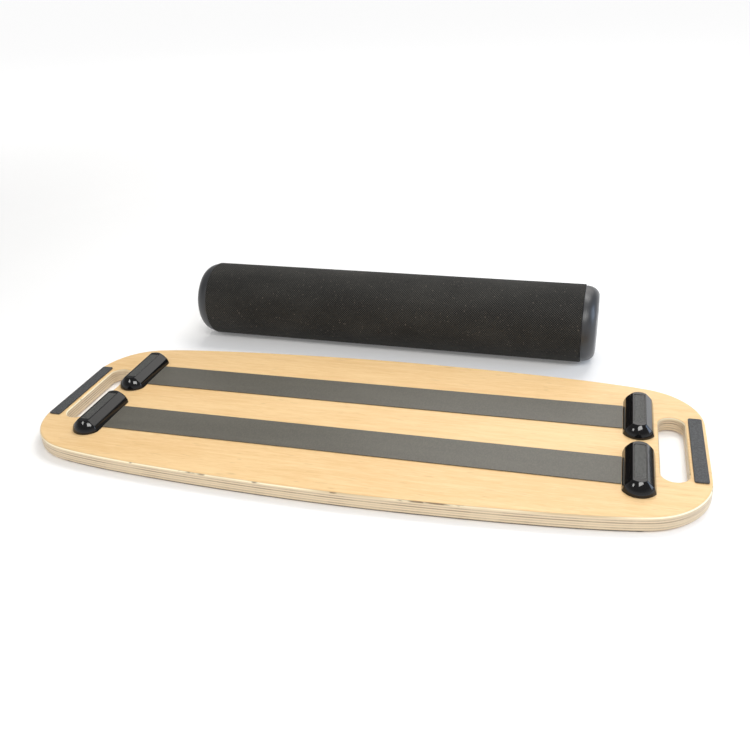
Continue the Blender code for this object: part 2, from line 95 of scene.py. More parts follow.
class Row(Enum):
    """A track, as the sign of its Y; the rear one is next to the roller."""

    FRONT = -1
    REAR = 1


# ---------------------------------------------------------------------------------------------------
# Finishes
# ---------------------------------------------------------------------------------------------------


class Graph:
    """The node tree of one material, with a short method for each node that the finishes use."""

    def __init__(self, material: bpy.types.Material) -> None:
        """Take over a material's tree, which holds a Principled shader and its output."""
        self.tree = material.node_tree
        self.shader = self.tree.nodes["Principled BSDF"]
        self.columns = 0

    def add(self, kind: str, **settings: object) -> bpy.types.Node:
        """Add a node.

        Args:
            kind: The node's type, without its ShaderNode prefix.
            settings: Properties to set on the node.

        Returns:
            The new node.
        """
        node = self.tree.nodes.new(f"ShaderNode{kind}")
        self.columns += 1
        node.location = (-180.0 * self.columns, -60.0 * (self.columns % 5))
        for name, value in settings.items():
            setattr(node, name, value)
        return node

    def feed(self, socket: bpy.types.NodeSocket, value: object) -> None:
        """Give an input a value, or link it to an output socket."""
        if isinstance(value, bpy.types.NodeSocket):
            self.tree.links.new(value, socket)
        elif isinstance(value, tuple) and len(value) == 3 and socket.type == "RGBA":
            socket.default_value = (*value, 1.0)
        else:
            socket.default_value = value

    def surface(self, **values: object) -> None:
        """Set or link inputs of the shader, named with underscores for spaces."""
        for name, value in values.items():
            self.feed(self.shader.inputs[name.replace("_", " ")], value)

    def place(self, scale: tuple[float, float, float] = (1, 1, 1), uv: bool = False) -> bpy.types.NodeSocket:
        """Where a point lies on the piece.

        Args:
            scale: How much the pattern is squeezed along each axis.
            uv: Whether to follow the piece's own unrolled surface, in metres, and not its position.

        Returns:
            The scaled coordinates.
        """
        source = self.add("TexCoord").outputs["UV" if uv else "Object"]
        mapping = self.add("Mapping")
        self.feed(mapping.inputs["Vector"], source)
        mapping.inputs["Scale"].default_value = scale
        return mapping.outputs["Vector"]

    def axes(self, vector: bpy.types.NodeSocket) -> tuple[bpy.types.NodeSocket, ...]:
        """Split a vector into its three parts."""
        split = self.add("SeparateXYZ")
        self.feed(split.inputs[0], vector)
        return tuple(split.outputs)

    def noise(
        self,
        where: bpy.types.NodeSocket,
        scale: float,
        detail: float = 2.0,
        roughness: float = 0.5,
        distortion: float = 0.0,
    ) -> bpy.types.NodeSocket:
        """Cloudy noise between 0 and 1.

        Args:
            where: Coordinates.
            scale: Features in a metre.
            detail: Number of finer octaves.
            roughness: Strength of the finer octaves.
            distortion: How far the noise bends itself.

        Returns:
            The noise's value.
        """
        node = self.add("TexNoise")
        self.feed(node.inputs["Vector"], where)
        node.inputs["Scale"].default_value = scale
        node.inputs["Detail"].default_value = detail
        node.inputs["Roughness"].default_value = roughness
        node.inputs["Distortion"].default_value = distortion
        return node.outputs["Fac"]

    def cells(self, where: bpy.types.NodeSocket, scale: float, feature: str = "F1") -> bpy.types.NodeSocket:
        """Distance pattern of scattered cells.

        Args:
            where: Coordinates.
            scale: Cells in a metre.
            feature: Which distance to read.

        Returns:
            The distance.
        """
        node = self.add("TexVoronoi", feature=feature)
        self.feed(node.inputs["Vector"], where)
        node.inputs["Scale"].default_value = scale
        return node.outputs["Distance"]

    def calc(
        self, operation: str, first: object, second: object = 0.0, clamp: bool = False
    ) -> bpy.types.NodeSocket:
        """One step of arithmetic.

        Args:
            operation: The Math node's operation.
            first: A number or an output socket.
            second: A number or an output socket.
            clamp: Whether to keep the result between 0 and 1.

        Returns:
            The result.
        """
        node = self.add("Math", operation=operation, use_clamp=clamp)
        self.feed(node.inputs[0], first)
        self.feed(node.inputs[1], second)
        return node.outputs[0]

    def span(
        self, value: object, low: float, high: float, start: float = 0.0, end: float = 1.0
    ) -> bpy.types.NodeSocket:
        """Carry a range of values over to another, held at both ends.

        Args:
            value: The value to carry over.
            low: Value that becomes start.
            high: Value that becomes end.
            start: Result at low.
            end: Result at high.

        Returns:
            The result.
        """
        node = self.add("MapRange", interpolation_type="SMOOTHSTEP")
        self.feed(node.inputs["Value"], value)
        node.inputs["From Min"].default_value = low
        node.inputs["From Max"].default_value = high
        node.inputs["To Min"].default_value = start
        node.inputs["To Max"].default_value = end
        return node.outputs["Result"]

    def blend(
        self, share: object, first: object, second: object, mode: str = "MIX"
    ) -> bpy.types.NodeSocket:
        """Mix two colours.

        Args:
            share: How much of the second colour.
            first: A colour or an output socket.
            second: A colour or an output socket.
            mode: How the second goes over the first.

        Returns:
            The mixed colour.
        """
        node = self.add("Mix", data_type="RGBA", blend_type=mode)
        self.feed(node.inputs["Factor"], share)
        self.feed(node.inputs[6], first)
        self.feed(node.inputs[7], second)
        return node.outputs[2]

    def relief(self, height: bpy.types.NodeSocket, depth: float, strength: float = 1.0) -> None:
        """Raise the surface by a height pattern.

        Args:
            height: Pattern between 0 and 1.
            depth: Real height of the pattern in metres.
            strength: Share of it that shows.
        """
        node = self.add("Bump")
        node.inputs["Strength"].default_value = strength
        node.inputs["Distance"].default_value = depth
        self.feed(node.inputs["Height"], height)
        self.surface(Normal=node.outputs["Normal"])


@dataclass(frozen=True)
class Finish:
    """A finish: the material that it makes, and the record's slot that it belongs to."""

    name: str
    slot: str

    def material(self) -> bpy.types.Material:
        """Make the Blender material."""
        made = bpy.data.materials.new(self.name)
        made.use_nodes = True
        self.paint(Graph(made))
        return made

    def paint(self, graph: Graph) -> None:
        """Fill the material's tree; each finish says how."""
        raise NotImplementedError


@dataclass(frozen=True)
class MaplePlywood(Finish):
    """Lacquered plywood: a thin maple face over plies that alternate in direction."""

    bottom: float = 0.0
    top: float = 0.018
    face_veneer: float = 0.0007
    inner_plies: int = 11
    darkest_depth: float = 0.0078
    face_light: Colour = (0.80, 0.565, 0.292)
    face_dark: Colour = (0.69, 0.44, 0.195)
    long_grain: Colour = (0.72, 0.585, 0.400)
    end_grain: Colour = (0.38, 0.285, 0.195)
    sanded_through: Colour = (0.42, 0.27, 0.125)
    pale_band: Colour = (0.96, 0.86, 0.62)
    mark: Colour = (0.14, 0.075, 0.030)

    def paint(self, graph: Graph) -> None:
        """Lay the ply edges below the face, and the face's grain over everything above its glue line."""
        _, _, z = graph.axes(graph.place())
        middle = (self.top + self.bottom) / 2
        from_middle = graph.calc("ABSOLUTE", graph.calc("SUBTRACT", z, middle))
        depth = graph.calc("SUBTRACT", (self.top - self.bottom) / 2, from_middle)
        wander = graph.noise(graph.place((1, 1, 0.2)), 14.0, 1.0)
        wavy = graph.calc("ADD", depth, graph.calc("MULTIPLY", graph.calc("SUBTRACT", wander, 0.5), 0.00035))
        edge = self.edge_colour(graph, z)
        face = self.face_colour(graph)
        under = graph.span(wavy, self.face_veneer - 0.00012, self.face_veneer + 0.00012)
        colour = graph.blend(under, face, edge)
        graph.surface(Base_Color=colour, Specular_IOR_Level=0.5, IOR=1.45)
        fine = graph.noise(graph.place((0.12, 1, 1)), 900.0, 2.0, 0.6)
        graph.surface(Roughness=graph.span(fine, 0.3, 0.7, 0.36, 0.5))
        pores = graph.noise(graph.place((0.04, 1, 0.6)), 700.0, 3.0, 0.65)
        graph.relief(pores, 0.00005, 0.35)

    def face_colour(self, graph: Graph) -> bpy.types.NodeSocket:
        """Colour of the maple face, with its grain along X."""
        broad = graph.noise(graph.place((0.30, 1.0, 1.0)), 9.0, 3.0, 0.55, 0.6)
        streak = graph.noise(graph.place((0.05, 1.0, 1.0)), 230.0, 3.0, 0.60, 0.3)
        fibre = graph.noise(graph.place((0.07, 1.0, 1.0)), 900.0, 2.0, 0.65)
        tone = graph.calc("ADD", graph.calc("MULTIPLY", streak, 0.34), graph.calc("MULTIPLY", broad, 0.40))
        tone = graph.calc("ADD", tone, graph.calc("MULTIPLY", fibre, 0.42))
        colour = graph.blend(graph.span(tone, 0.40, 0.78), self.face_light, self.face_dark)
        dash = graph.noise(graph.place((0.12, 1.0, 1.0)), 420.0, 1.0, 0.4)
        colour = graph.blend(graph.span(dash, 0.68, 0.78, 0.0, 0.35), colour, self.sanded_through)
        knot = graph.noise(graph.place((0.25, 1.0, 1.0)), 60.0, 2.0, 0.5)
        return graph.blend(graph.span(knot, 0.74, 0.82, 0.0, 0.55), colour, self.sanded_through)

    def edge_colour(self, graph: Graph, z: bpy.types.NodeSocket) -> bpy.types.NodeSocket:
        """Colour of the plies where the edge cuts through them."""
        ply = (self.top - self.bottom - 2 * self.face_veneer) / self.inner_plies
        wander = graph.noise(graph.place((1.0, 1.0, 0.1)), 7.0, 2.0)
        lifted = graph.calc("ADD", z, graph.calc("MULTIPLY", graph.calc("SUBTRACT", wander, 0.5), 0.0005))
        count = graph.calc("DIVIDE", graph.calc("SUBTRACT", lifted, self.bottom + self.face_veneer), 2 * ply)
        wave = graph.calc("PINGPONG", graph.calc("SUBTRACT", count, 0.25), 0.5)
        cross = graph.span(wave, 0.20, 0.30, 1.0, 0.0)
        normal = graph.add("TexCoord").outputs["Normal"]
        along, _, _ = graph.axes(normal)
        facing_end = graph.calc("MULTIPLY", along, along)
        end_share = graph.blend(facing_end, cross, graph.calc("SUBTRACT", 1.0, cross))
        fuzz = graph.noise(graph.place((0.5, 0.5, 1.0)), 620.0, 3.0, 0.7)
        worn = graph.noise(graph.place((1.0, 1.0, 0.3)), 26.0, 3.0, 0.6)
        worn_share = graph.span(worn, 0.30, 0.68, 0.45, 1.0)
        strength = graph.calc("MULTIPLY", worn_share, graph.span(fuzz, 0.25, 0.70, 0.65, 1.0))
        number = graph.add("TexWhiteNoise", noise_dimensions="1D")
        graph.feed(number.inputs["W"], graph.calc("FLOOR", graph.calc("MULTIPLY", count, 2.0)))
        strength = graph.calc("MULTIPLY", strength, graph.span(number.outputs["Value"], 0.0, 1.0, 0.55, 1.25))
        heart = graph.calc("ABSOLUTE", graph.calc("SUBTRACT", z, self.top - self.darkest_depth))
        strength = graph.calc("MULTIPLY", strength, graph.span(heart, 0.0, 0.0045, 1.25, 0.75))
        share = graph.calc("MULTIPLY", end_share, strength, clamp=True)
        colour = graph.blend(share, self.long_grain, self.end_grain)
        glue = graph.span(graph.calc("ABSOLUTE", graph.calc("SUBTRACT", wave, 0.25)), 0.0, 0.05, 0.35, 0.0)
        colour = graph.blend(glue, colour, self.end_grain)
        depth = graph.calc("SUBTRACT", self.top, z)
        outer = graph.span(depth, self.face_veneer + 0.8 * ply, self.face_veneer + 1.15 * ply, 1.0, 0.0)
        patches = graph.noise(graph.place(), 5.0, 2.0, 0.5)
        colour = graph.blend(outer, colour, self.pale_band)
        from_glue = graph.calc("ABSOLUTE", graph.calc("SUBTRACT", depth, self.face_veneer))
        line = graph.span(from_glue, 0.0, 0.0003, 0.7, 0.0)
        colour = graph.blend(line, colour, self.sanded_through)
        browned = graph.calc("MULTIPLY", outer, graph.span(patches, 0.46, 0.66, 0.0, 0.70))
        colour = graph.blend(browned, colour, self.sanded_through)
        spots = graph.noise(graph.place((0.35, 1.0, 1.0)), 40.0, 4.0, 0.75)
        burnt = graph.calc("MULTIPLY", outer, graph.span(spots, 0.56, 0.66))
        return graph.blend(graph.calc("MULTIPLY", burnt, 0.85), colour, self.mark)


@dataclass(frozen=True)
class SatinStrip(Finish):
    """Smooth rubber track strip with a fine calendered texture and a satin reflection."""

    colour: Colour = (0.080, 0.075, 0.060)

    def paint(self, graph: Graph) -> None:
        """Fine lengthwise and crosswise texture with faint scuffs where the roller runs."""
        fine = graph.noise(graph.place(), 2600.0, 2.0, 0.6)
        scuff = graph.noise(graph.place((0.15, 1.0, 1.0)), 60.0, 4.0, 0.65)
        colour = graph.blend(graph.span(scuff, 0.35, 0.75, 0.0, 0.45), self.colour, (0.120, 0.112, 0.092))
        weave = graph.noise(graph.place((1.0, 0.5, 1.0)), 700.0, 2.0, 0.7)
        colour = graph.blend(graph.span(weave, 0.35, 0.70, 0.0, 0.35), colour, (0.150, 0.137, 0.106))
        graph.surface(Base_Color=colour, Specular_IOR_Level=0.5)
        wear = graph.calc("ADD", fine, graph.calc("MULTIPLY", scuff, 0.5))
        graph.surface(Roughness=graph.span(wear, 0.5, 1.0, 0.36, 0.50))
        graph.relief(fine, 0.00004, 0.5)


@dataclass(frozen=True)
class PebbledPad(Finish):
    """Dull end pad rubber with a fine pebbled face."""

    colour: Colour = (0.028, 0.029, 0.030)

    def paint(self, graph: Graph) -> None:
        """Scattered pebbles with dust in the gaps."""
        pebble = graph.cells(graph.place(), 620.0)
        grit = graph.noise(graph.place(), 1500.0, 2.0, 0.7)
        colour = graph.blend(graph.span(pebble, 0.15, 0.75, 0.0, 0.7), self.colour, (0.085, 0.088, 0.092))
        colour = graph.blend(graph.span(grit, 0.62, 0.75, 0.0, 0.5), colour, (0.14, 0.14, 0.145))
        graph.surface(Base_Color=colour, Roughness=0.62, Specular_IOR_Level=0.4)
        graph.relief(graph.span(pebble, 0.0, 0.8, 1.0, 0.0), 0.00018, 0.8)


@dataclass(frozen=True)
class GlossMoulding(Finish):
    """Polished black moulded plastic."""

    colour: Colour = (0.0045, 0.0045, 0.0050)

    def paint(self, graph: Graph) -> None:
        """Deep black with the faint waviness and fine wiping marks of a polished moulding."""
        swell = graph.noise(graph.place(), 90.0, 2.0, 0.5)
        haze = graph.noise(graph.place((1.0, 0.2, 1.0)), 900.0, 3.0, 0.7)
        graph.surface(Base_Color=self.colour, Specular_IOR_Level=0.42)
        graph.surface(Roughness=graph.span(haze, 0.35, 0.75, 0.05, 0.11))
        graph.relief(swell, 0.00006, 0.35)


@dataclass(frozen=True)
class StippledInlay(Finish):
    """Grey rubber inlay with a stippled face."""

    colour: Colour = (0.105, 0.105, 0.098)

    def paint(self, graph: Graph) -> None:
        """Small raised stipples, with painted light on their tops and painted shade in the gaps between them.
        """
        stipple = graph.cells(graph.place(), 900.0)
        grit = graph.noise(graph.place(), 1800.0, 2.0, 0.7)
        # painted light on the stipple tops and painted shade in the gaps between them
        colour = graph.blend(graph.span(stipple, 0.1, 0.7), self.colour, (0.030, 0.030, 0.028))
        colour = graph.blend(graph.span(grit, 0.55, 0.75, 0.0, 0.5), colour, (0.14, 0.14, 0.13))
        graph.surface(Base_Color=colour, Roughness=0.55, Specular_IOR_Level=0.4)
        graph.relief(graph.span(stipple, 0.0, 0.75, 1.0, 0.0), 0.00012, 0.7)


@dataclass(frozen=True)
class StandingGrit(Finish):
    """Black anti-slip sheet of fine mineral grit."""

    def paint(self, graph: Graph) -> None:
        """Sharp grains, with painted glints on a few that catch the light."""
        grain = graph.cells(graph.place(), 1400.0)
        painted_glint = graph.noise(graph.place(), 2400.0, 1.0, 0.5)
        wear = graph.noise(graph.place(), 8.0, 3.0, 0.6)
        colour = graph.blend(graph.span(grain, 0.2, 0.8), (0.030, 0.030, 0.031), (0.012, 0.012, 0.012))
        colour = graph.blend(graph.span(wear, 0.45, 0.75, 0.0, 0.4), colour, (0.05, 0.05, 0.048))
        # painted glints on a few grains
        colour = graph.blend(graph.span(painted_glint, 0.74, 0.80), colour, (0.20, 0.20, 0.20))
        graph.surface(Base_Color=colour, Roughness=0.8, Specular_IOR_Level=0.5)
        graph.relief(graph.span(grain, 0.0, 0.8, 1.0, 0.0), 0.00030, 0.9)


@dataclass(frozen=True)
class SleeveGrip(Finish):
    """The roller's black sleeve: a fine diamond grip pattern with a dull, dusty grain."""

    pitch: float = 0.0031
    dark: Colour = (0.0030, 0.0030, 0.0027)
    light: Colour = (0.050, 0.047, 0.041)

    def paint(self, graph: Graph) -> None:
        """Two crossed sets of ribs make diamonds, with painted light on their tops and painted shade in the
        valleys between them.
        """
        around, along, _ = graph.axes(graph.place(uv=True))
        turn = 2 * math.pi / self.pitch
        first = graph.calc("SINE", graph.calc("MULTIPLY", graph.calc("ADD", around, along), turn))
        second = graph.calc("SINE", graph.calc("MULTIPLY", graph.calc("SUBTRACT", around, along), turn))
        diamond = graph.calc("MULTIPLY", graph.calc("ADD", first, second), 0.25)
        diamond = graph.calc("ADD", diamond, 0.5)
        grain = graph.noise(graph.place(), 620.0, 3.0, 0.75)
        patch = graph.noise(graph.place((0.5, 1.0, 1.0)), 22.0, 4.0, 0.6)
        tone = graph.calc("ADD", graph.calc("MULTIPLY", diamond, 0.62), graph.calc("MULTIPLY", grain, 0.44))
        tone = graph.calc("ADD", tone, graph.calc("MULTIPLY", graph.calc("SUBTRACT", patch, 0.5), 0.35))
        # painted light and shade: diamond tops are painted lighter and the valleys between them darker
        colour = graph.blend(graph.span(tone, 0.38, 0.82), self.dark, self.light)
        # painted glints: tiny light dots scattered over the sleeve
        painted_glint = graph.noise(graph.place(), 560.0, 0.0, 0.5)
        colour = graph.blend(graph.span(painted_glint, 0.76, 0.84, 0.0, 0.45), colour, (0.20, 0.165, 0.135))
        graph.surface(Base_Color=colour, Roughness=0.88, Specular_IOR_Level=0.35)
        height = graph.calc("ADD", graph.calc("MULTIPLY", diamond, 0.6), graph.calc("MULTIPLY", grain, 0.4))
        graph.relief(height, 0.00035, 0.8)


@dataclass(frozen=True)
class SatinCap(Finish):
    """Satin black moulded end cap."""

    colour: Colour = (0.020, 0.021, 0.024)

    def paint(self, graph: Graph) -> None:
        """Fine spark-eroded texture with a few handling marks."""
        fine = graph.noise(graph.place(), 2200.0, 2.0, 0.6)
        scuff = graph.noise(graph.place(), 35.0, 4.0, 0.7)
        share = graph.span(scuff, 0.5, 0.8, 0.0, 0.5)
        graph.surface(Base_Color=graph.blend(share, self.colour, (0.034, 0.035, 0.037)))
        graph.surface(Roughness=graph.span(scuff, 0.3, 0.8, 0.33, 0.45), Specular_IOR_Level=0.7)
        graph.relief(fine, 0.00003, 0.35)


@dataclass(frozen=True)
class ZincScrew(Finish):
    """Zinc-plated steel screw."""

    def paint(self, graph: Graph) -> None:
        """Bright plating with cloudy passivation and drawn lines."""
        cloud = graph.noise(graph.place(), 300.0, 3.0, 0.6)
        lines = graph.noise(graph.place((1.0, 1.0, 8.0)), 900.0, 2.0, 0.6)
        colour = graph.blend(graph.span(cloud, 0.3, 0.7), (0.62, 0.62, 0.60), (0.48, 0.47, 0.42))
        graph.surface(Base_Color=colour, Metallic=1.0, Roughness=graph.span(lines, 0.3, 0.7, 0.24, 0.42))
        graph.relief(lines, 0.00002, 0.4)


@dataclass(frozen=True)
class ExtrudedTube(Finish):
    """Grey extruded plastic tube."""

    def paint(self, graph: Graph) -> None:
        """Extrusion lines along the tube over a mottled grey."""
        lines = graph.noise(graph.place((0.02, 1.0, 1.0)), 700.0, 3.0, 0.6)
        mottle = graph.noise(graph.place(), 40.0, 3.0, 0.6)
        colour = graph.blend(graph.span(mottle, 0.3, 0.7), (0.19, 0.19, 0.20), (0.24, 0.24, 0.25))
        graph.surface(Base_Color=colour, Roughness=graph.span(lines, 0.3, 0.7, 0.40, 0.55))
        graph.relief(lines, 0.00004, 0.4)


# ---------------------------------------------------------------------------------------------------
# Shaping tools
# ---------------------------------------------------------------------------------------------------


@dataclass(frozen=True)
class Knot:
    """A point of a smooth outline with the handles before and after it."""

    point: Point2
    before: Point2
    after: Point2

    def flipped(self, sx: int, sy: int) -> "Knot":
        """Mirror the knot; one mirror alone also reverses the outline's direction there."""
        point, before, after = (
            (x * sx, y * sy) for x, y in (self.point, self.before, self.after)
        )
        return Knot(point, before, after) if sx == sy else Knot(point, after, before)

    def moved(self, x: float, y: float) -> "Knot":
        """Shift the knot."""
        return Knot(*((px + x, py + y) for px, py in (self.point, self.before, self.after)))


Outline = list[Knot]


def arc_handle(radius: float, angle: float) -> float:
    """Length of the handles that bend a curve into an arc of that radius and angle."""
    return radius * 4 / 3 * math.tan(angle / 4)


def mirrored(quarter: Sequence[Knot]) -> Outline:
    """Close a quarter outline.

    Args:
        quarter: Knots from the +Y axis round to the last one before the +X axis.

    Returns:
        The whole outline, clockwise.
    """
    body = [knot for knot in quarter if knot.point[0] > 0]
    outline = list(quarter)
    outline += [knot.flipped(1, -1) for knot in reversed(quarter)]
    outline += [knot.flipped(-1, -1) for knot in body]
    outline += [knot.flipped(-1, 1) for knot in reversed(body)]
    return outline


def bar_outline(length: float, width: float, radius: float) -> Outline:
    """Outline of a bar with round corners.

    Args:
        length: Size along X.
        width: Size along Y.
        radius: Radius of the corners.

    Returns:
        The outline, centred on the origin.
    """
    x, y = length / 2, width / 2
    pull = radius - arc_handle(radius, math.pi / 2)
    top = Knot((x - radius, y), (0.0, y), (x - pull, y))
    side = Knot((x, y - radius), (x, y - pull), (x, 0.0))
    return mirrored([top, side])


def mesh_piece(name: str, mesh: bpy.types.Mesh) -> bpy.types.Object:
    """Wrap a mesh in an object of the same name and link it."""
    mesh.name = name
    piece = bpy.data.objects.new(name, mesh)
    bpy.context.scene.collection.objects.link(piece)
    return piece


def built(name: str, shape: bmesh.types.BMesh) -> bpy.types.Object:
    """Turn a finished shape into a piece, and free the shape."""
    mesh = bpy.data.meshes.new(name)
    shape.to_mesh(mesh)
    shape.free()
    return mesh_piece(name, mesh)


def baked(piece: bpy.types.Object) -> bpy.types.Object:
    """Replace a piece's mesh by what its modifiers make of it."""
    depsgraph = bpy.context.evaluated_depsgraph_get()
    mesh = bpy.data.meshes.new_from_object(piece.evaluated_get(depsgraph))
    piece.modifiers.clear()
    piece.data = mesh
    return piece


def combine(piece: bpy.types.Object, tool: bpy.types.Object, operation: str) -> None:
    """Join a tool's shape to a piece or take it away, then drop the tool.

    Args:
        piece: The piece to change.
        tool: The closed shape to use.
        operation: UNION, DIFFERENCE or INTERSECT.
    """
    boolean = piece.modifiers.new("combine", "BOOLEAN")
    boolean.operation = operation
    boolean.solver = "EXACT"
    boolean.object = tool
    baked(piece)
    bpy.data.objects.remove(tool, do_unlink=True)
    weld(piece)


def weld(piece: bpy.types.Object, distance: float = 0.00001) -> None:
    """Close up the slivers that a cut leaves.

    Args:
        piece: The piece to change.
        distance: How near two points must be to become one.
    """
    shape = bmesh.new()
    shape.from_mesh(piece.data)
    bmesh.ops.remove_doubles(shape, verts=shape.verts, dist=distance)
    bmesh.ops.dissolve_degenerate(shape, dist=distance, edges=shape.edges)
    bmesh.ops.holes_fill(shape, edges=[edge for edge in shape.edges if edge.is_boundary], sides=0)
    shape.to_mesh(piece.data)
    shape.free()


def slab(
    name: str, outlines: Iterable[Outline], bottom: float, top: float, edge: float, steps: int = 16
) -> bpy.types.Object:
    """Make a flat slab with rounded edges from smooth outlines; the inner outlines are holes.

    Args:
        name: Name of the piece.
        outlines: The outer outline first.
        bottom: Height of its lower face.
        top: Height of its upper face.
        edge: Radius of its edges.
        steps: Straight steps between two knots.

    Returns:
        The piece, with its place in its mesh.
    """
    curve = bpy.data.curves.new(name, "CURVE")
    curve.dimensions = "2D"
    curve.fill_mode = "BOTH"
    curve.resolution_u = steps
    curve.extrude = (top - bottom) / 2 - edge
    curve.bevel_depth = edge
    curve.bevel_resolution = 3
    curve.offset = -edge
    for outline in outlines:
        spline = curve.splines.new("BEZIER")
        spline.bezier_points.add(len(outline) - 1)
        for corner, knot in zip(spline.bezier_points, outline):
            corner.handle_left_type = corner.handle_right_type = "FREE"
            corner.co = (*knot.point, 0.0)
            corner.handle_left = (*knot.before, 0.0)
            corner.handle_right = (*knot.after, 0.0)
        spline.use_cyclic_u = True
    drawn = bpy.data.objects.new(name, curve)
    bpy.context.scene.collection.objects.link(drawn)
    depsgraph = bpy.context.evaluated_depsgraph_get()
    mesh = bpy.data.meshes.new_from_object(drawn.evaluated_get(depsgraph))
    bpy.data.objects.remove(drawn, do_unlink=True)
    mesh.transform(Matrix.Translation((0, 0, (top + bottom) / 2)))
    shape = bmesh.new()
    shape.from_mesh(mesh)
    bmesh.ops.remove_doubles(shape, verts=shape.verts, dist=0.000002)
    bmesh.ops.dissolve_degenerate(shape, dist=0.000005, edges=shape.edges)
    bmesh.ops.recalc_face_normals(shape, faces=shape.faces)
    shape.to_mesh(mesh)
    shape.free()
    return mesh_piece(name, mesh)


def post(name: str, radius: float, bottom: Vector, top: float, segments: int = 24) -> bpy.types.Object:
    """Make a round upright post.

    Args:
        name: Name of the post.
        radius: Its radius.
        bottom: Middle of its lower end.
        top: Height of its upper end.
        segments: Number of sides.

    Returns:
        The post.
    """
    shape = bmesh.new()
    middle = Vector((bottom.x, bottom.y, (bottom.z + top) / 2))
    bmesh.ops.create_cone(
        shape,
        cap_ends=True,
        segments=segments,
        radius1=radius,
        radius2=radius,
        depth=top - bottom.z,
        matrix=Matrix.Translation(middle) @ Matrix.Rotation(math.pi / segments, 4, "Z"),
    )
    return built(name, shape)


def turn_profile(
    shape: bmesh.types.BMesh, profile: Sequence[Point2], steps: int, place: Matrix | None = None
) -> None:
    """Turn a closed profile about the Z axis into a solid of its own.

    Args:
        shape: The mesh that gets the solid.
        profile: Radius and height of each point; one that starts on the axis also ends there.
        steps: Number of steps round.
        place: Where the solid goes.
    """
    ring = [shape.verts.new((radius, 0.0, height)) for radius, height in profile]
    pairs = list(zip(ring, ring[1:]))
    if profile[0][0] > 0:
        pairs.append((ring[-1], ring[0]))
    edges = [shape.edges.new(pair) for pair in pairs]
    others = set(shape.verts) - set(ring)
    bmesh.ops.spin(
        shape,
        geom=ring + edges,
        axis=(0, 0, 1),
        cent=(0, 0, 0),
        steps=steps,
        angle=2 * math.pi,
        use_merge=True,
    )
    made = [vertex for vertex in shape.verts if vertex not in others]
    bmesh.ops.remove_doubles(shape, verts=made, dist=0.000002)
    if place is not None:
        made = [vertex for vertex in shape.verts if vertex not in others]
        bmesh.ops.transform(shape, matrix=place, verts=made)


def smooth(piece: bpy.types.Object, angle: float = 32.0) -> None:
    """Shade a piece smooth, keep its real corners, and let its large faces set the shading.

    Args:
        piece: The piece.
        angle: Corners sharper than this many degrees stay crisp.
    """
    piece.data.shade_smooth()
    piece.data.set_sharp_from_angle(angle=math.radians(angle))
    weighted = piece.modifiers.new("even_shading", "WEIGHTED_NORMAL")
    weighted.keep_sharp = True
    weighted.weight = 80


def hand_over(
    piece: bpy.types.Object, finish: Finish, material: bpy.types.Material, body: Body, nodes: Sequence[str]
) -> None:
    """Dress a finished piece and tie it to the frame.

    Args:
        piece: The piece, in place.
        finish: What it is finished in.
        material: The finish's material.
        body: The body that it moves with.
        nodes: The frame's nodes that it stands for.
    """
    piece.data.materials.clear()
    piece.data.materials.append(material)
    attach(piece, body.value)
    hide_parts(*nodes)
    log.info("%s: %d faces, %s", piece.name, len(piece.data.polygons), finish.name)


# ---------------------------------------------------------------------------------------------------
# The board
# ---------------------------------------------------------------------------------------------------


